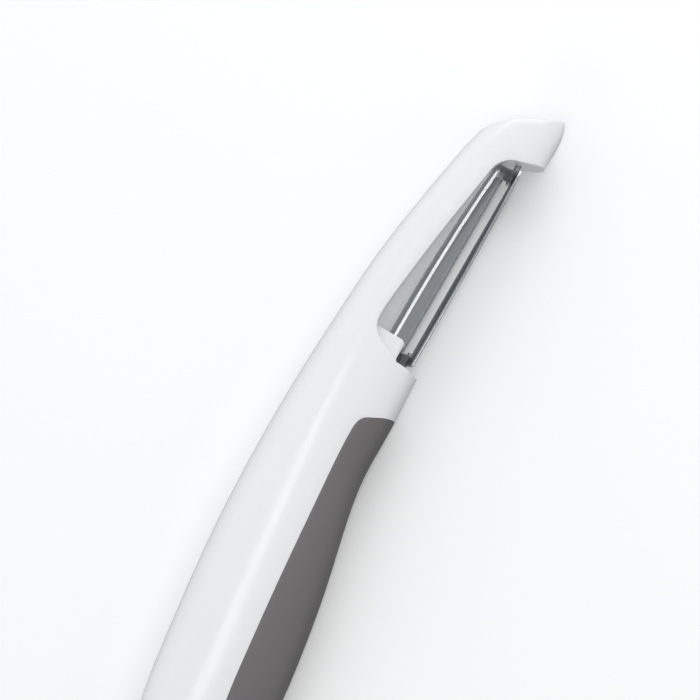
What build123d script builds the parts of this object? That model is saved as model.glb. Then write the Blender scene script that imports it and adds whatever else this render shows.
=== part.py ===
from build123d import *
import math
import os

# Side peeler: a white moulded body with a spine, a hooked nose and an inlaid soft grip,
# and a steel blade that swivels between the hook and the mouth of the handle.
# The long axis is X, towards the nose. The origin is the centre of the hanging hole,
# on the middle plane of the body. +Y is the side of the spine, +Z is the front.

# Driving sizes of the body, in millimetres
handle_length = 112.0
head_length = 70.5
butt_reach = 12.5
body_width = 31.0
body_thickness = 19.5
pivot_offset = 3.0
wall = 2.4
overrun = 5.0

# Sections of the body. Each row holds the place from the shoulder, the back edge and
# the belly edge from the pivot line, the crest, and the half thickness. Places are
# shares of handle_length or head_length, the edges and the crest are shares of
# body_width, and the half thickness is a share of body_thickness.
handle_section_shares = [
    (-1.000, 0.380, 0.462, 0.00, 0.380),
    (-0.900, 0.455, 0.488, 0.05, 0.425),
    (-0.770, 0.532, 0.478, 0.10, 0.468),
    (-0.625, 0.595, 0.415, 0.17, 0.492),
    (-0.490, 0.640, 0.330, 0.23, 0.500),
    (-0.375, 0.662, 0.238, 0.28, 0.492),
    (-0.250, 0.672, 0.165, 0.33, 0.474),
    (-0.125, 0.667, 0.158, 0.37, 0.447),
    (-0.020, 0.652, 0.140, 0.40, 0.418),
]
head_section_shares = [
    (0.142, 0.632, 0.150, 0.42, 0.378),
    (0.340, 0.594, 0.168, 0.41, 0.348),
    (0.510, 0.538, 0.182, 0.36, 0.330),
    (0.680, 0.473, 0.195, 0.28, 0.320),
    (0.820, 0.405, 0.200, 0.20, 0.308),
    (1.060, 0.280, 0.215, 0.08, 0.210),
]
butt_steps = 5
butt_first_angle = 14
squareness = 2.6
section_steps = 20

# Outlines in the plan view, as shares of head_length along and body_width across. The
# pivot line meets the hook at hook_face_share.
hook_face_share = 0.796
window_shares = [
    (-0.023, -0.117), (-0.017, -0.032), (-0.014, 0.039), (-0.002, 0.132), (0.012, 0.212),
    (0.036, 0.296), (0.062, 0.339), (0.108, 0.352), (0.176, 0.341), (0.298, 0.310),
    (0.470, 0.261), (0.641, 0.200), (0.716, 0.174), (0.744, 0.158), (0.764, 0.128),
    (0.784, 0.078), (hook_face_share, 0.008), (0.805, -0.050), (0.819, -0.125), (0.829, -0.190),
]
nose_top_shares = [
    (0.796, 0.433), (0.846, 0.372), (0.883, 0.305), (0.905, 0.247), (0.937, 0.147),
    (0.974, -0.020), (1.000, -0.135),
]
nose_side_shares = [
    (1.000, -0.135), (0.984, -0.160), (0.953, -0.181), (0.908, -0.191), (0.858, -0.189),
    (0.790, -0.184),
]

# Hanging hole
hole_radius = 3.6

# Mouth of the handle, and the block in it that carries the lower pin and stops the blade
mouth_ledge = 3.0
mouth_belly = 1.2
mouth_back = 10.6
mouth_front_depth = 3.2
mouth_rear_depth = 2.4
block_depth = 3.6
block_length = 11.5
block_shelf = 1.8
block_clearance = 0.15
block_top_gap = 1.1
stop_height = 4.9
stop_rear = 0.45
stop_front = 3.0
stop_nose = 2.4
stop_round = 1.3
swing_radius = 7.4
swing_depth = 6.0

# Room inside the hook for the head of the blade to turn
head_room_radius = 5.2
head_room_length = 4.4
head_room_gap = 0.4

# Blade. The section is an arch: a flat crown that holds the slot, two slanted rails,
# a narrow bend and two outer flanges that turn further round.
blade_foot = 0.1
blade_length = 54.6
sheet = 0.6
crown_half = 1.35
rail_width = 3.6
bend_width = 0.5
flange_width = 1.3
rail_tilt = 26.0
flange_tilt = 55.0
blade_turn = 42.0
blade_taper_shares = [(0.0, 1.0), (0.28, 1.0), (0.44, 0.96), (0.66, 0.84), (0.845, 0.67), (1.0, 0.46)]
slot_foot = 2.9
slot_head = 3.2
grind_width = 0.7
grind_depth = 0.42

# Pivot pins, welded on the outside of the blade's two webs
pin_radius = 0.7
pin_weld = 0.06
pin_stub = 0.6
pin_play = 0.05
pin_end_gap = 0.4
upper_pin_grip = 5.0
lower_pin_grip = 8.0
pin_chamfer = 0.15

# Grip: a soft skin, flush with the body, over a hard carrier that closes the hollow
grip_shares = [
    (-0.117, -0.157), (-0.130, -0.054), (-0.141, 0.013), (-0.152, 0.070), (-0.166, 0.096),
    (-0.190, 0.104), (-0.320, 0.077), (-0.540, 0.012), (-0.740, -0.062), (-0.850, -0.125),
    (-0.900, -0.205), (-0.920, -0.330),
]
grip_reach_share = 0.8
carrier_wall = 1.8
carrier_lap = 1.5
hollow_top = 19.0
hollow_foot_share = 0.86
rib_wall = 1.6
rib_places_share = [-0.29, -0.43, -0.57, -0.71]
rib_reach_share = 0.22
tongue_width = 6.0
tongue_belly = 0.9
tongue_back = 3.0
tongue_root = 8.0

# Worked out from the sizes above
shoulder = handle_length
crown_lift = pin_radius - pin_weld + sheet / 2
blade_start = shoulder - blade_foot
blade_end = blade_start + blade_length
slot_start = blade_start + slot_foot
slot_end = blade_end - slot_head
block_top = blade_start - block_top_gap
ledge_foot = block_top - mouth_ledge - block_top_gap
hook_face = shoulder + hook_face_share * head_length


def across(share):
    """Y of a place given as a share of body_width from the pivot line."""
    return pivot_offset + share * body_width


def plan(rows, length, shift=0):
    """Points in the plan view from a table of shares."""
    return [(shoulder + place * length, across(side) + shift) for place, side in rows]


def ring(x, back, belly, crest, half, inset):
    """One closed section: a squarish oval whose crest leans towards the spine."""
    points = []
    for step in range(section_steps):
        angle = 2 * math.pi * (step + 0.5) / section_steps
        side = math.copysign(abs(math.cos(angle)) ** (2 / squareness), math.cos(angle))
        rise = math.copysign(abs(math.sin(angle)) ** (2 / squareness), math.sin(angle))
        reach = back - crest if side > 0 else crest - belly
        points.append((crest + side * (reach - inset), rise * (half - inset)))
    with BuildSketch(Plane.YZ.offset(x)) as section:
        with BuildLine():
            Spline(*points, periodic=True)
        make_face()
    return section.sketch


def row_ring(row, length, inset):
    """The section that a row of a table gives."""
    place, back, belly, crest, half = row
    return ring(shoulder + place * length, across(back), across(-belly), across(crest),
                half * body_thickness, inset)


def butt_rings():
    """Sections that close the butt as a quarter oval."""
    place, back, belly, crest, half = handle_section_shares[0]
    middle = across(crest)
    rings = []
    for step in range(butt_steps):
        swing = butt_first_angle + (90 - butt_first_angle) * step / butt_steps
        fall = math.sin(math.radians(swing))
        x = shoulder + place * handle_length - butt_reach * math.cos(math.radians(swing))
        rings.append(ring(x, middle + (across(back) - middle) * fall,
                          middle + (across(-belly) - middle) * fall,
                          middle, half * body_thickness * fall, 0))
    return rings


def slab(low, high):
    """A box from its lowest to its highest corner."""
    size = [b - a for a, b in zip(low, high)]
    with BuildPart(mode=Mode.PRIVATE) as solid:
        with Locations(tuple((a + b) / 2 for a, b in zip(low, high))):
            Box(*size)
    return solid.part


def pivot_plane(x):
    """Plane across the blade: its X runs along the chord, its Y to the hollow side."""
    turn = math.radians(blade_turn)
    return Plane(origin=(x, pivot_offset, 0), x_dir=(0, math.cos(turn), -math.sin(turn)),
                 z_dir=(1, 0, 0))


def blade_line(scale):
    """Middle line of the half section of the blade, from the middle of the crown."""
    points = [(0, crown_lift), (crown_half, crown_lift)]
    steps = [(rail_width * scale, rail_tilt), (bend_width * scale, (rail_tilt + flange_tilt) / 2),
             (flange_width * scale, flange_tilt)]
    for length, tilt in steps:
        last = points[-1]
        points.append((last[0] + length * math.cos(math.radians(tilt)),
                       last[1] + length * math.sin(math.radians(tilt))))
    return points


def beside(points, distance):
    """The same line, moved sideways by a distance towards the hollow side."""
    moved = []
    for index, point in enumerate(points):
        before = points[max(index - 1, 0)]
        after = points[min(index + 1, len(points) - 1)]
        first = Vector(point[0] - before[0], point[1] - before[1])
        second = Vector(after[0] - point[0], after[1] - point[1])
        first = first.normalized() if first.length else second.normalized()
        second = second.normalized() if second.length else first
        normal = Vector(-first.Y - second.Y, first.X + second.X) / (1 + first.dot(second))
        moved.append((point[0] + normal.X * distance, point[1] + normal.Y * distance))
    return moved


def blade_section(x, scale):
    """Closed section of the blade at one place along it."""
    half = blade_line(scale)
    upper = beside(half, sheet / 2)
    lower = beside(half, -sheet / 2)
    right = upper[1:] + lower[:0:-1]
    left = [(-a, b) for a, b in reversed(right)]
    with BuildSketch(pivot_plane(x)) as section:
        with BuildLine():
            Polyline(*(right + left), close=True)
        make_face()
    return section.sketch


os.makedirs("parts", exist_ok=True)

# Forms that several pieces share: the outside, and the same a wall further in
with BuildPart() as outside:
    loft(butt_rings()
         + [row_ring(row, handle_length, 0) for row in handle_section_shares]
         + [row_ring(row, head_length, 0) for row in head_section_shares])
with BuildPart() as inside:
    loft([row_ring(row, handle_length, wall) for row in handle_section_shares])
with BuildPart() as core:
    loft([row_ring(row, handle_length, wall + carrier_wall) for row in handle_section_shares])

with BuildPart() as grip_zone:
    grip_reach = across(-grip_reach_share)
    with BuildSketch():
        with BuildLine():
            edge = Spline(*plan(grip_shares, handle_length))
            Polyline(edge @ 1, ((edge @ 1).X, grip_reach), ((edge @ 0).X, grip_reach), edge @ 0)
        make_face()
    extrude(amount=body_thickness, both=True)

# Hollow of the handle, open to the belly, with ribs left standing across it
hollow_low = shoulder - hollow_foot_share * handle_length
hollow_high = shoulder - hollow_top
with BuildPart() as hollow:
    add(inside.part)
    add(slab((hollow_low, -body_width, -body_thickness), (hollow_high, body_width, body_thickness)),
        mode=Mode.INTERSECT)
    for share in rib_places_share:
        middle = shoulder + share * handle_length
        add(slab((middle - rib_wall / 2, across(rib_reach_share), -body_thickness),
                 (middle + rib_wall / 2, body_width, body_thickness)), mode=Mode.SUBTRACT)

# Soft skin of the grip, flush with the body
with BuildPart() as grip_skin:
    add(outside.part)
    add(grip_zone.part, mode=Mode.INTERSECT)
    add(inside.part, mode=Mode.SUBTRACT)

# Hard carrier under the skin. It tucks under the wall of the body all round, and its
# tongue stands under the pivot block and holds it up in the mouth.
with BuildPart() as grip_carrier:
    add(hollow.part)
    add(grip_zone.part.moved(Location((0, carrier_lap, 0))), mode=Mode.INTERSECT)
    add(core.part, mode=Mode.SUBTRACT)
    add(slab((hollow_high - tongue_root, across(0) - tongue_belly, -tongue_width / 2),
             (ledge_foot - block_length - block_clearance, across(0) + tongue_back, tongue_width / 2)))

# White body: handle wall, spine, hook and nose in one moulding
with BuildPart() as frame_body:
    add(outside.part)
    with BuildSketch() as window:
        with BuildLine():
            edge = Spline(*plan(window_shares, head_length))
            Polyline(edge @ 1, ((edge @ 1).X, -body_width), ((edge @ 0).X, -body_width), edge @ 0)
        make_face()
    extrude(amount=body_thickness, both=True, mode=Mode.SUBTRACT)
    with BuildSketch() as nose:
        with BuildLine():
            top = Spline(*plan(nose_top_shares, head_length))
            side = Spline(*plan(nose_side_shares, head_length))
            nose_reach = shoulder + head_length + overrun
            Polyline(side @ 1, ((side @ 1).X, -body_width), (nose_reach, -body_width),
                     (nose_reach, body_width), ((top @ 0).X, body_width), top @ 0)
        make_face()
    extrude(amount=body_thickness, both=True, mode=Mode.SUBTRACT)
    add(grip_skin.part, mode=Mode.SUBTRACT)
    add(hollow.part, mode=Mode.SUBTRACT)
    # mouth through the ledge, and the pocket of the block under it
    add(slab((ledge_foot - block_clearance, across(0) - mouth_belly, -mouth_rear_depth),
             (shoulder + stop_height + overrun, across(0) + mouth_back, mouth_front_depth)),
        mode=Mode.SUBTRACT)
    add(slab((hollow_high - block_clearance,
              across(0) - mouth_belly, -block_depth),
             (ledge_foot, across(0) + mouth_back + block_shelf, block_depth)), mode=Mode.SUBTRACT)
    # room for the foot of the blade to turn behind the rim of the mouth
    with Locations(Plane((block_top, pivot_offset, 0), x_dir=(0, 1, 0), z_dir=(1, 0, 0))):
        Cylinder(swing_radius, swing_depth, align=(Align.CENTER, Align.CENTER, Align.MIN),
                 mode=Mode.SUBTRACT)
    # room behind the front face for the head of the blade to turn
    with Locations(Plane((blade_end + head_room_gap - head_room_length, pivot_offset, 0),
                         x_dir=(0, 1, 0), z_dir=(1, 0, 0))):
        Cylinder(head_room_radius, head_room_length,
                 align=(Align.CENTER, Align.CENTER, Align.MIN), mode=Mode.SUBTRACT)
    # blind bore of the upper pin and the hanging hole
    with Locations(Plane((hook_face, pivot_offset, 0), x_dir=(0, 1, 0), z_dir=(1, 0, 0))):
        Cylinder(pin_radius + pin_play, 2 * (upper_pin_grip + pin_end_gap), mode=Mode.SUBTRACT)
    with Locations((0, 0, 0)):
        Cylinder(hole_radius, 2 * body_thickness, mode=Mode.SUBTRACT)

# Block in the mouth: a base in the pocket, a neck with the bore, and the stop
with BuildPart() as pivot_block:
    gap = block_clearance
    add(slab((ledge_foot - gap - block_length, across(0) - mouth_belly + gap, -block_depth + gap),
             (ledge_foot - gap, across(0) + mouth_back + block_shelf - gap, block_depth - gap)))
    add(slab((ledge_foot - gap, across(0) - mouth_belly + gap, -mouth_rear_depth + gap),
             (block_top, across(0) + mouth_back - gap, mouth_front_depth - gap)))
    add(slab((block_top - overrun, across(0) + stop_nose, stop_rear),
             (shoulder + stop_height, across(0) + mouth_back - gap, stop_front)))
    corner = pivot_block.edges().filter_by(Axis.Z).sort_by(Axis.X)[-2:].sort_by(Axis.Y)[0]
    fillet(corner, stop_round)
    with Locations(Plane((block_top, pivot_offset, 0), x_dir=(0, 1, 0), z_dir=(1, 0, 0))):
        Cylinder(pin_radius + pin_play, 2 * (lower_pin_grip + pin_end_gap), mode=Mode.SUBTRACT)

# Blade: even over its first part, then narrower towards the hook
with BuildPart() as swivel_blade:
    loft([blade_section(blade_start + place * blade_length, scale)
          for place, scale in blade_taper_shares], ruled=True)
    with BuildSketch(Plane(pivot_plane(0).origin, x_dir=(1, 0, 0), z_dir=pivot_plane(0).y_dir)):
        with Locations(((slot_start + slot_end) / 2, 0)):
            Rectangle(slot_end - slot_start, 2 * crown_half)
    extrude(amount=overrun, both=True, mode=Mode.SUBTRACT)
    # ground edges along both sides of the slot, on the hollow side
    rail = (math.cos(math.radians(rail_tilt)), math.sin(math.radians(rail_tilt)))
    top_edge = beside(blade_line(1), sheet / 2)[1]
    run_out = (top_edge[0] + grind_width * rail[0], top_edge[1] + grind_width * rail[1])
    foot = (top_edge[0] + grind_depth * rail[1], top_edge[1] - grind_depth * rail[0])
    for hand in (-1, 1):
        with BuildSketch(pivot_plane(slot_start)):
            with BuildLine():
                Polyline((hand * run_out[0], run_out[1]), (hand * foot[0], foot[1]),
                         (hand * (foot[0] - sheet), foot[1]),
                         (hand * (top_edge[0] - sheet), top_edge[1] + sheet), close=True)
            make_face()
        extrude(amount=slot_end - slot_start, mode=Mode.SUBTRACT)


def pivot_pin(start, end, seat_start, seat_end):
    """A round pin on the pivot line with a flat where it is welded to the blade."""
    with BuildPart() as pin:
        with BuildSketch(pivot_plane(start)):
            Circle(pin_radius)
        extrude(amount=end - start)
        chamfer(pin.edges().filter_by(GeomType.CIRCLE), pin_chamfer)
        with BuildSketch(pivot_plane(seat_start)):
            with Locations((0, pin_radius - pin_weld + sheet / 2)):
                Rectangle(2 * pin_radius, sheet)
        extrude(amount=seat_end - seat_start, mode=Mode.SUBTRACT)
    return pin.part


# Upper pin, from the blade into the hook
with BuildPart() as upper_pivot_pin:
    add(pivot_pin(slot_end - pin_stub, hook_face + upper_pin_grip,
                  slot_end - pin_stub, blade_end))

# Lower pin, from the blade into the pivot block
with BuildPart() as lower_pivot_pin:
    add(pivot_pin(block_top - lower_pin_grip, slot_start + pin_stub,
                  blade_start, slot_start + pin_stub))

frame_body.part.label = "frame_body"
export_step(frame_body.part, "parts/frame_body.step")
grip_carrier.part.label = "grip_carrier"
export_step(grip_carrier.part, "parts/grip_carrier.step")
grip_skin.part.label = "grip_skin"
export_step(grip_skin.part, "parts/grip_skin.step")
pivot_block.part.label = "pivot_block"
export_step(pivot_block.part, "parts/pivot_block.step")
swivel_blade.part.label = "swivel_blade"
export_step(swivel_blade.part, "parts/swivel_blade.step")
upper_pivot_pin.part.label = "upper_pivot_pin"
export_step(upper_pivot_pin.part, "parts/upper_pivot_pin.step")
lower_pivot_pin.part.label = "lower_pivot_pin"
export_step(lower_pivot_pin.part, "parts/lower_pivot_pin.step")
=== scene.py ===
import bmesh
import bpy
import math
from mathutils import Matrix, Vector


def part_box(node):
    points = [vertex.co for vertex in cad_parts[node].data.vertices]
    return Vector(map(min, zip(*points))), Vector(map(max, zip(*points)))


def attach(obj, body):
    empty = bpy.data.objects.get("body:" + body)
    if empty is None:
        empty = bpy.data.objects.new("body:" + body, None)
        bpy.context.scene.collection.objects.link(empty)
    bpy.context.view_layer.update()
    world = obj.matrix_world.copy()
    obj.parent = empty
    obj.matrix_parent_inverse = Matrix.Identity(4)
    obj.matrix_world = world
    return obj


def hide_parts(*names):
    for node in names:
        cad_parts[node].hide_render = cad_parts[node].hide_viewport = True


# The peeler is put together in this order: the white body, the block in its mouth, the
# carrier and the soft grip, then the blade with its two pins. The stage comes last.

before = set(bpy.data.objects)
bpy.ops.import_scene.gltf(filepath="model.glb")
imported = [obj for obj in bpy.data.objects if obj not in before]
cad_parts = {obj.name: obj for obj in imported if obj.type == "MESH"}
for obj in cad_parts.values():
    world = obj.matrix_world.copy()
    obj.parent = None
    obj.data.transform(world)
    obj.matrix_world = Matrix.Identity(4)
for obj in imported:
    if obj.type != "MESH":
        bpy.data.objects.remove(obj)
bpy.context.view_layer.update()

# Body: one glossy white moulding with the handle's wall, the spine, the hook and the nose.
# The plastic is polished in the mould, so it has only a faint orange peel and fine scuffs,
# and its edges are eased round the window, the nose, the hanging hole and the inlay.
window_span = (0.1085, 0.1712)
window_land = 0.0045
window_round = 0.00022
bore_span = (-0.0005, 0.0052)
bore_half = 0.0015
nose_round = 0.00025
hole_reach = 0.0045
hole_rim = 0.006
hole_round = 0.00040
inlay_span = (0.008, 0.1015)
inlay_top = 0.0070
inlay_face = 0.0076
inlay_belly = -0.0020
inlay_round = 0.00010
smooth_below = math.radians(35)


def finish_group(name, inputs):
    """An empty node group that puts out a colour, a roughness and a normal."""
    group = bpy.data.node_groups.new(name, "ShaderNodeTree")
    for label, kind in inputs:
        group.interface.new_socket(label, in_out="INPUT", socket_type=kind)
    for label, kind in (("Colour", "NodeSocketColor"),
                        ("Roughness", "NodeSocketFloat"),
                        ("Normal", "NodeSocketVector")):
        group.interface.new_socket(label, in_out="OUTPUT", socket_type=kind)
    return group


def mould_finish():
    """Node group: slow colour drift, fine scuffs and orange peel of a moulded surface."""
    group = finish_group("mould_finish", (("Light colour", "NodeSocketColor"),
                                          ("Dark colour", "NodeSocketColor"),
                                          ("Roughness low", "NodeSocketFloat"),
                                          ("Roughness high", "NodeSocketFloat"),
                                          ("Peel scale", "NodeSocketFloat"),
                                          ("Peel strength", "NodeSocketFloat")))
    nodes, links = group.nodes, group.links
    given = nodes.new("NodeGroupInput")
    out = nodes.new("NodeGroupOutput")
    place = nodes.new("ShaderNodeTexCoord")
    drift = nodes.new("ShaderNodeTexNoise")
    drift.inputs["Scale"].default_value = 22.0
    drift.inputs["Detail"].default_value = 2.0
    tone = nodes.new("ShaderNodeMix")
    tone.data_type = "RGBA"
    scuffs = nodes.new("ShaderNodeTexNoise")
    scuffs.inputs["Scale"].default_value = 320.0
    scuffs.inputs["Detail"].default_value = 5.0
    spread = nodes.new("ShaderNodeMapRange")
    spread.inputs["From Min"].default_value = 0.35
    spread.inputs["From Max"].default_value = 0.7
    peel = nodes.new("ShaderNodeTexNoise")
    peel.inputs["Detail"].default_value = 2.0
    bump = nodes.new("ShaderNodeBump")
    bump.inputs["Distance"].default_value = 0.0001
    for texture in (drift, scuffs, peel):
        links.new(place.outputs["Object"], texture.inputs["Vector"])
    links.new(drift.outputs["Fac"], tone.inputs["Factor"])
    links.new(given.outputs["Dark colour"], tone.inputs["A"])
    links.new(given.outputs["Light colour"], tone.inputs["B"])
    links.new(scuffs.outputs["Fac"], spread.inputs["Value"])
    links.new(given.outputs["Roughness low"], spread.inputs["To Min"])
    links.new(given.outputs["Roughness high"], spread.inputs["To Max"])
    links.new(given.outputs["Peel scale"], peel.inputs["Scale"])
    links.new(given.outputs["Peel strength"], bump.inputs["Strength"])
    links.new(peel.outputs["Fac"], bump.inputs["Height"])
    links.new(tone.outputs["Result"], out.inputs["Colour"])
    links.new(spread.outputs["Result"], out.inputs["Roughness"])
    links.new(bump.outputs["Normal"], out.inputs["Normal"])
    return group


moulded = mould_finish()


def finished_material(name, surface, values):
    """A material whose colour, roughness and normal come from a finish, with its values."""
    material = bpy.data.materials.new(name)
    material.use_nodes = True
    nodes, links = material.node_tree.nodes, material.node_tree.links
    shader = nodes["Principled BSDF"]
    finish = nodes.new("ShaderNodeGroup")
    finish.node_tree = surface
    for label, value in values.items():
        finish.inputs[label].default_value = value
    links.new(finish.outputs["Colour"], shader.inputs["Base Color"])
    links.new(finish.outputs["Roughness"], shader.inputs["Roughness"])
    links.new(finish.outputs["Normal"], shader.inputs["Normal"])
    return material


def dress(piece, material):
    """Gives a piece its finish."""
    piece.data.materials.clear()
    piece.data.materials.append(material)


def moulding_of(node, name):
    """A piece of its own with a CAD node's form, its loose triangles merged."""
    piece = bpy.data.objects.new(name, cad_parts[node].data.copy())
    bpy.context.scene.collection.objects.link(piece)
    bpy.ops.object.select_all(action="DESELECT")
    piece.select_set(True)
    bpy.context.view_layer.objects.active = piece
    bpy.ops.mesh.customdata_custom_splitnormals_clear()
    bpy.ops.object.mode_set(mode="EDIT")
    bpy.ops.mesh.select_all(action="SELECT")
    bpy.ops.mesh.remove_doubles(threshold=0.000001)
    bpy.ops.object.mode_set(mode="OBJECT")
    return piece


def ease_edges(piece, width, within):
    """Rounds the sharp edges whose two ends both lie where within says."""
    bpy.ops.object.mode_set(mode="EDIT")
    bpy.ops.mesh.select_mode(type="EDGE")
    bpy.ops.mesh.select_all(action="DESELECT")
    mesh = bmesh.from_edit_mesh(piece.data)
    for edge in mesh.edges:
        sharp = edge.is_manifold and edge.calc_face_angle(0) > smooth_below
        edge.select_set(sharp and all(within(end.co) for end in edge.verts))
    bmesh.update_edit_mesh(piece.data)
    bpy.ops.mesh.bevel(offset=width, segments=2, affect="EDGES", clamp_overlap=False)
    bpy.ops.object.mode_set(mode="OBJECT")


def beside_window(at):
    """Round the mouth and the window, on the front and the rear face."""
    return window_span[0] < at.x < window_span[1] and abs(at.z) > window_land


def round_nose(at):
    """On the hook and the nose, but not in the bore of the upper pin."""
    in_bore = bore_span[0] <= at.y <= bore_span[1] and abs(at.z) <= bore_half
    return at.x > window_span[1] and not in_bore


def round_hole(at):
    """On the two rims of the hanging hole."""
    return abs(at.x) < hole_reach and abs(at.y) < hole_reach and abs(at.z) > hole_rim


def round_inlay(at):
    """Along the rim of the recess that the grip fills."""
    return (inlay_span[0] < at.x < inlay_span[1] and at.y < inlay_top
            and (abs(at.z) > inlay_face or at.y < inlay_belly))


body = moulding_of("frame_body", "body_moulding")
ease_edges(body, window_round, beside_window)
ease_edges(body, nose_round, round_nose)
ease_edges(body, hole_round, round_hole)
ease_edges(body, inlay_round, round_inlay)
bpy.ops.object.shade_smooth_by_angle(angle=smooth_below)
body_material = finished_material("body_gloss", moulded, {
    "Light colour": (0.850, 0.853, 0.855, 1.0),
    "Dark colour": (0.828, 0.832, 0.834, 1.0),
    "Roughness low": 0.15,
    "Roughness high": 0.22,
    "Peel scale": 700.0,
    "Peel strength": 0.02})
body_shader = body_material.node_tree.nodes["Principled BSDF"]
body_shader.inputs["Coat Weight"].default_value = 0.06
body_shader.inputs["Coat Roughness"].default_value = 0.06
body_shader.inputs["Specular IOR Level"].default_value = 0.34
body_shader.inputs["Subsurface Weight"].default_value = 0.05
body_shader.inputs["Subsurface Radius"].default_value = (0.002, 0.002, 0.002)
dress(body, body_material)
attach(body, "handle")
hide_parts("frame_body")

# Pivot block: a white moulding pushed up into the mouth from the hollow of the handle.
# Its neck carries the lower pin, and its post stands beside the blade as the swing's stop.
block_visible = 0.1095
block_round = 0.00015
block = moulding_of("pivot_block", "block_moulding")
ease_edges(block, block_round, lambda at: at.x > block_visible)
bpy.ops.object.shade_smooth_by_angle(angle=smooth_below)
dress(block, finished_material("block_satin", moulded, {
    "Light colour": (0.825, 0.829, 0.831, 1.0),
    "Dark colour": (0.801, 0.806, 0.808, 1.0),
    "Roughness low": 0.28,
    "Roughness high": 0.38,
    "Peel scale": 800.0,
    "Peel strength": 0.05}))
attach(block, "handle")
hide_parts("pivot_block")

# Carrier: a hard dark moulding that closes the hollow of the handle. The soft skin of the
# grip is bonded over it, and it shows nowhere from outside.
dress(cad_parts["grip_carrier"], finished_material("carrier_dark", moulded, {
    "Light colour": (0.10, 0.10, 0.10, 1.0),
    "Dark colour": (0.08, 0.08, 0.08, 1.0),
    "Roughness low": 0.45,
    "Roughness high": 0.60,
    "Peel scale": 800.0,
    "Peel strength": 0.08}))

# Grip: a soft grey skin moulded over the carrier, flush with the body round it. Its
# surface is matte with a fine grain.
grip_belly = -0.0030
grip_round = 0.00012
grip = moulding_of("grip_skin", "grip_overmould")
ease_edges(grip, grip_round, lambda at: abs(at.z) > inlay_face or at.y < grip_belly)
bpy.ops.object.shade_smooth_by_angle(angle=smooth_below)
dress(grip, finished_material("grip_soft", moulded, {
    "Light colour": (0.160, 0.152, 0.155, 1.0),
    "Dark colour": (0.124, 0.118, 0.120, 1.0),
    "Roughness low": 0.52,
    "Roughness high": 0.66,
    "Peel scale": 2600.0,
    "Peel strength": 0.30}))
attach(grip, "handle")
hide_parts("grip_skin")

# Blade: one strip of stainless steel, slotted and pressed to an arch, with rounded bends
# between the crown, the two rails and the outer flanges. Both sides of the slot are ground
# to an edge on the hollow side. The rolling leaves fine lines along its length.
blade_start, blade_end = 0.1119, 0.1665
slot_start, slot_end = 0.1148, 0.1633
blade_length = blade_end - blade_start
blade_steps = 30
blade_sheet = 0.0006
crown_half = 0.00135
crown_lift = 0.00094
rail_run, bend_run, flange_run = 0.0034, 0.0009, 0.0011
rail_tilt, bend_tilt, flange_tilt = math.radians(26), math.radians(40.5), math.radians(55)
pivot_height = 0.003
blade_turn = math.radians(42)
blade_taper = ((0.0, 1.0), (0.28, 1.0), (0.44, 0.96), (0.66, 0.84), (0.845, 0.67), (1.0, 0.46))
edge_ground = 0.00042
bend_eased = 0.00012
slack = 0.00001
least_share = 0.0001


def pick(piece, wanted, kind="EDGE"):
    """In edit mode, selects only the edges, vertices or faces whose corners all fit."""
    bpy.ops.object.mode_set(mode="EDIT")
    bpy.ops.mesh.select_mode(type=kind)
    bpy.ops.mesh.select_all(action="DESELECT")
    bpy.ops.object.mode_set(mode="OBJECT")
    points = piece.data.vertices
    parts = {"EDGE": piece.data.edges, "VERT": points, "FACE": piece.data.polygons}[kind]
    for part in parts:
        corners = [part.index] if kind == "VERT" else part.vertices
        part.select = all(wanted(points[corner].co) for corner in corners)
    bpy.ops.object.mode_set(mode="EDIT")


def near(value, target):
    """True where two lengths agree within a few thousandths of a millimetre."""
    return abs(value - target) < 0.000004


def along_slot(co):
    """True at a point between the two ends of the slot."""
    return slot_start - slack < co.x < slot_end + slack


def taper_at(x):
    """How much of the full rail and flange is left at a place along the blade."""
    share = (x - blade_start) / blade_length
    for (low, wide), (high, narrow) in zip(blade_taper, blade_taper[1:]):
        if share <= high + least_share:
            return wide + (narrow - wide) * (share - low) / (high - low)
    return blade_taper[-1][1]


bpy.ops.object.select_all(action="DESELECT")
blade_middle = (blade_start + blade_end) / 2
bpy.ops.mesh.primitive_plane_add(size=1.0, location=(blade_middle, 0, crown_lift))
blade = bpy.context.object
blade.name = "blade_sheet"
blade.scale = (blade_length, 2 * crown_half, 1)
bpy.ops.object.transform_apply(location=True, rotation=True, scale=True)
stations = sorted([slot_start, slot_end]
                  + [blade_start + step * blade_length / blade_steps
                     for step in range(1, blade_steps)])
bpy.ops.object.mode_set(mode="EDIT")
for station in stations:
    bpy.ops.mesh.select_all(action="SELECT")
    bpy.ops.mesh.bisect(plane_co=(station, 0, 0), plane_no=(1, 0, 0))
for hand in (-1, 1):
    across, rise = crown_half, crown_lift
    for run, tilt in ((rail_run, rail_tilt), (bend_run, bend_tilt), (flange_run, flange_tilt)):
        pick(blade, lambda co: near(co.y, hand * across) and near(co.z, rise))
        step_y, step_z = run * math.cos(tilt), run * math.sin(tilt)
        bpy.ops.mesh.extrude_region_move(
            TRANSFORM_OT_translate={"value": (0, hand * step_y, step_z)})
        across, rise = across + step_y, rise + step_z
flange_root = (crown_half + rail_run * math.cos(rail_tilt)
               + bend_run * math.cos(bend_tilt))
for station in [blade_start, blade_end] + stations:
    lost = 1 - taper_at(station)
    if lost < least_share:
        continue
    for hand in (-1, 1):
        for root, run, tilt in ((flange_root, flange_run, flange_tilt),
                                (crown_half, rail_run, rail_tilt)):
            pick(blade, lambda co: near(co.x, station) and hand * co.y > root + slack, "VERT")
            bpy.ops.transform.translate(value=(0, -hand * lost * run * math.cos(tilt),
                                               -lost * run * math.sin(tilt)))
pick(blade, lambda co: abs(co.y) < crown_half + slack and along_slot(co), "FACE")
bpy.ops.mesh.delete(type="FACE")
bpy.ops.mesh.select_all(action="SELECT")
bpy.ops.mesh.normals_make_consistent(inside=False)
bpy.ops.object.mode_set(mode="OBJECT")
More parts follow.
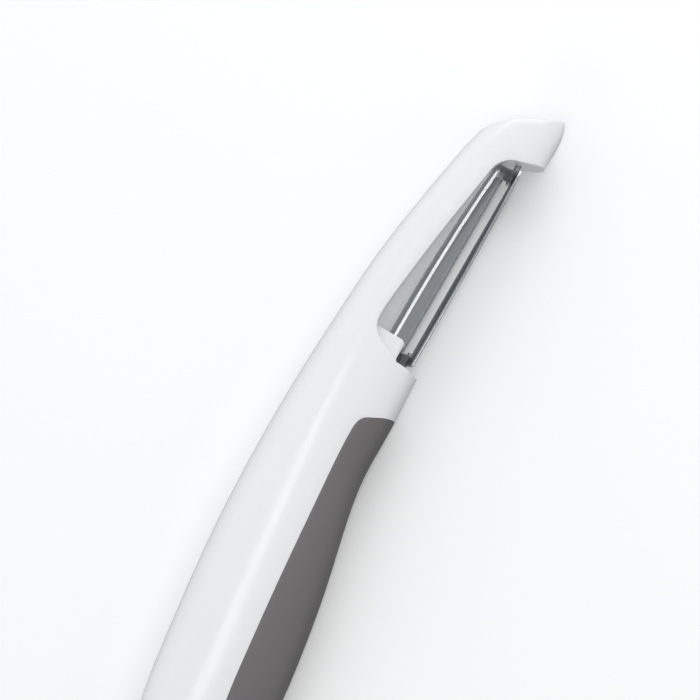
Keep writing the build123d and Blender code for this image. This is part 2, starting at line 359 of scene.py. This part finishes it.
thick = blade.modifiers.new("sheet", "SOLIDIFY")
thick.thickness = blade_sheet
thick.offset = 0.0
thick.use_even_offset = True
bpy.ops.object.modifier_apply(modifier=thick.name)
# the hollow side of each long edge of the slot is ground down
pick(blade, lambda co: abs(abs(co.y) - crown_half) < blade_sheet / 3
     and co.z > crown_lift and along_slot(co))
bpy.ops.mesh.bevel(offset=edge_ground, segments=1, affect="EDGES", clamp_overlap=True)
bpy.ops.object.mode_set(mode="OBJECT")
soften = blade.modifiers.new("bends", "BEVEL")
soften.width = bend_eased
soften.segments = 3
soften.limit_method = "ANGLE"
soften.angle_limit = math.radians(12)
bpy.ops.object.modifier_apply(modifier=soften.name)
bpy.ops.object.mode_set(mode="EDIT")
bpy.ops.mesh.select_all(action="SELECT")
bpy.ops.transform.rotate(value=blade_turn, orient_axis="X", center_override=(0, 0, 0))
bpy.ops.transform.translate(value=(0, pivot_height, 0))
bpy.ops.mesh.remove_doubles(threshold=0.000002)
bpy.ops.mesh.normals_make_consistent(inside=False)
bpy.ops.object.mode_set(mode="OBJECT")
bpy.ops.object.shade_smooth_by_angle(angle=math.radians(22))
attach(blade, "blade")
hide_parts("swivel_blade")


def rolled_finish():
    """Node group: the fine lines that rolling or drawing leaves along a piece of steel."""
    group = finish_group("rolled_finish", (("Light colour", "NodeSocketColor"),
                                           ("Dark colour", "NodeSocketColor")))
    nodes, links = group.nodes, group.links
    given = nodes.new("NodeGroupInput")
    out = nodes.new("NodeGroupOutput")
    place = nodes.new("ShaderNodeTexCoord")
    stretch = nodes.new("ShaderNodeMapping")
    stretch.inputs["Scale"].default_value = (60.0, 2600.0, 2600.0)
    lines = nodes.new("ShaderNodeTexNoise")
    lines.inputs["Scale"].default_value = 1.0
    lines.inputs["Detail"].default_value = 4.0
    rough = nodes.new("ShaderNodeMapRange")
    rough.inputs["To Min"].default_value = 0.19
    rough.inputs["To Max"].default_value = 0.28
    tone = nodes.new("ShaderNodeMix")
    tone.data_type = "RGBA"
    bump = nodes.new("ShaderNodeBump")
    bump.inputs["Strength"].default_value = 0.04
    bump.inputs["Distance"].default_value = 0.00003
    links.new(place.outputs["Object"], stretch.inputs["Vector"])
    links.new(stretch.outputs["Vector"], lines.inputs["Vector"])
    links.new(lines.outputs["Fac"], rough.inputs["Value"])
    links.new(lines.outputs["Fac"], tone.inputs["Factor"])
    links.new(lines.outputs["Fac"], bump.inputs["Height"])
    links.new(given.outputs["Dark colour"], tone.inputs["A"])
    links.new(given.outputs["Light colour"], tone.inputs["B"])
    links.new(tone.outputs["Result"], out.inputs["Colour"])
    links.new(rough.outputs["Result"], out.inputs["Roughness"])
    links.new(bump.outputs["Normal"], out.inputs["Normal"])
    return group


rolled = rolled_finish()


def steel_material(name, light, dark):
    """Bare steel with the rolled surface, between a light and a dark tone."""
    material = finished_material(name, rolled, {"Light colour": light, "Dark colour": dark})
    material.node_tree.nodes["Principled BSDF"].inputs["Metallic"].default_value = 1.0
    return material


dress(blade, steel_material("blade_rolled",
                            (0.400, 0.408, 0.424, 1.0),
                            (0.322, 0.330, 0.346, 1.0)))

# Pins: two pieces of drawn wire, welded on the outside of the blade's end webs. Their
# steel is a little darker than the blade's.
pin_steel = steel_material("pin_drawn",
                           (0.370, 0.378, 0.394, 1.0),
                           (0.290, 0.298, 0.314, 1.0))
dress(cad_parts["upper_pivot_pin"], pin_steel)
dress(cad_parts["lower_pivot_pin"], pin_steel)

# Stage: a pale floor just under the peeler. It throws no light back up and shows in no
# reflection, so the peeler's sides darken as they do in the photograph.
floor_gap = 0.0002
floor_level = min(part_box("frame_body")[0].z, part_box("grip_skin")[0].z) - floor_gap
bpy.ops.object.select_all(action="DESELECT")
bpy.ops.mesh.primitive_plane_add(size=6.0, location=(0.1, 0.0, floor_level))
floor = bpy.context.object
floor.name = "floor"
floor_paint = bpy.data.materials.new("floor_pale")
floor_paint.use_nodes = True
floor_shader = floor_paint.node_tree.nodes["Principled BSDF"]
floor_shader.inputs["Base Color"].default_value = (0.98, 0.98, 0.98, 1.0)
floor_shader.inputs["Roughness"].default_value = 0.7
dress(floor, floor_paint)
floor.visible_diffuse = False
floor.visible_glossy = False

# Light: a dim surround that falls off towards the belly side, a broad light from each side
# and from each end, and a long narrow strip overhead that draws the fine highlight along
# the handle.
world = bpy.data.worlds.new("studio")
world.use_nodes = True
surround = world.node_tree.nodes
surround_links = world.node_tree.links
surround["Background"].inputs["Color"].default_value = (0.97, 0.985, 1.0, 1.0)
sky_place = surround.new("ShaderNodeTexCoord")
sky_parts = surround.new("ShaderNodeSeparateXYZ")
sky_fall = surround.new("ShaderNodeMapRange")
sky_fall.inputs["From Min"].default_value = -1.0
sky_fall.inputs["From Max"].default_value = 1.0
sky_fall.inputs["To Min"].default_value = 0.25
sky_fall.inputs["To Max"].default_value = 0.75
surround_links.new(sky_place.outputs["Generated"], sky_parts.inputs["Vector"])
surround_links.new(sky_parts.outputs["Y"], sky_fall.inputs["Value"])
surround_links.new(sky_fall.outputs["Result"], surround["Background"].inputs["Strength"])
bpy.context.scene.world = world
bpy.context.scene.view_settings.view_transform = "Standard"


def soft_light(name, direction, distance, width, length, power, along=(1.0, 0.0, 0.0)):
    """A rectangular soft light that faces the peeler, its long side in a given direction."""
    aim = Vector((0.110, 0.010, 0.0))
    back = Vector(direction).normalized()
    side = Vector(along)
    side = (side - back * side.dot(back)).normalized()
    lamp = bpy.data.lights.new(name, "AREA")
    lamp.shape = "RECTANGLE"
    lamp.size = length
    lamp.size_y = width
    lamp.energy = power
    light = bpy.data.objects.new(name, lamp)
    bpy.context.scene.collection.objects.link(light)
    turned = Matrix((side, back.cross(side), back)).transposed().to_4x4()
    light.matrix_world = Matrix.Translation(aim + back * distance) @ turned
    return light


soft_light("broad_spine_side", (0.0, 0.86, 0.50), 1.2, 0.8, 1.4, 0.55)
soft_light("broad_belly_side", (0.1, -0.88, 0.46), 1.2, 0.8, 1.4, 2.0)
soft_light("broad_butt_end", (-0.90, 0.10, 0.42), 1.2, 0.7, 1.0, 1.8, (0.0, 1.0, 0.0))
soft_light("broad_nose_end", (0.75, 0.15, 0.64), 1.2, 0.7, 1.0, 6.8, (0.0, 1.0, 0.0))
soft_light("strip_overhead", (-0.090, 0.050, 0.994), 1.5, 0.16, 1.1, 3.1)

# Camera: at the photograph's angle, a long lens almost square to the front face and ten
# degrees towards the butt, with the nose up and to the right.
view_right = Vector((0.4934, -0.8650, 0.0870)).normalized()
view_up = Vector((0.8519, 0.5010, 0.1502)).normalized()
view_back = view_right.cross(view_up).normalized()
view_up = view_back.cross(view_right).normalized()
view_centre = Vector((0.10887, 0.01593, 0.0))
view_distance = 1.3
picture_pixels = 700
pixels_per_metre = 4200
frame_width = picture_pixels / pixels_per_metre
camera_data = bpy.data.cameras.new("camera")
camera_data.sensor_width = 36.0
camera_data.lens = camera_data.sensor_width * view_distance / frame_width
camera_data.clip_end = 20.0
camera = bpy.data.objects.new("camera", camera_data)
bpy.context.scene.collection.objects.link(camera)
camera.matrix_world = (Matrix.Translation(view_centre + view_back * view_distance)
                       @ Matrix((view_right, view_up, view_back)).transposed().to_4x4())
bpy.context.scene.camera = camera
